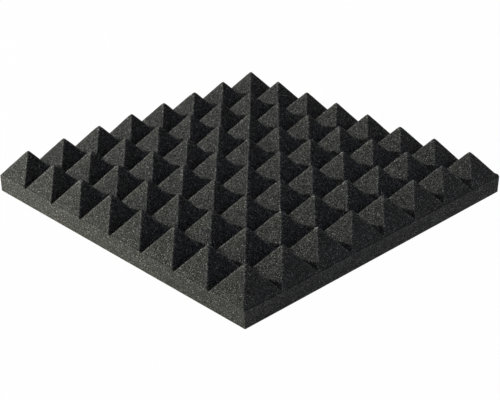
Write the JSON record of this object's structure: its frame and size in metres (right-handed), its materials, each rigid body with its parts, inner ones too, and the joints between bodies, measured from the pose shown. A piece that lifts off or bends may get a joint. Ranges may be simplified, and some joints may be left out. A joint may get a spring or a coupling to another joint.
{
  "type": "acoustic foam panel",
  "caption": "Square foam tile whose front is a field of pyramids that absorb and scatter sound, with a self-adhesive back under a peel-off liner.",
  "frame": {"origin": "centre of the panel's underside, which is the liner's outer face", "axes": "+Z is the panel's outward normal, from its glued back to the pyramids' tips; X and Y run along its square edges, and the liner peels from its +X edge towards its -X edge"},
  "size_m": [0.5, 0.5, 0.0602],
  "materials": {
    "foam": "charcoal open-cell polyurethane foam, matt, fine cells open on the cut faces",
    "adhesive": "translucent acrylic adhesive on white tissue, glossy and tacky",
    "liner": "pale cream silicone-coated paper, soft sheen"
  },
  "bodies": {
    "tile": {"foam_tile": "foam", "adhesive_film": "adhesive"},
    "liner": {"release_liner": "liner"}
  },
  "joints": [
    {"name": "liner_peel", "type": "hinge", "parent": "tile", "child": "liner", "pos_m": [-0.2495, 0, 0.00013], "axis": [0, 1, 0], "range_deg": [0, 180]}
  ]
}
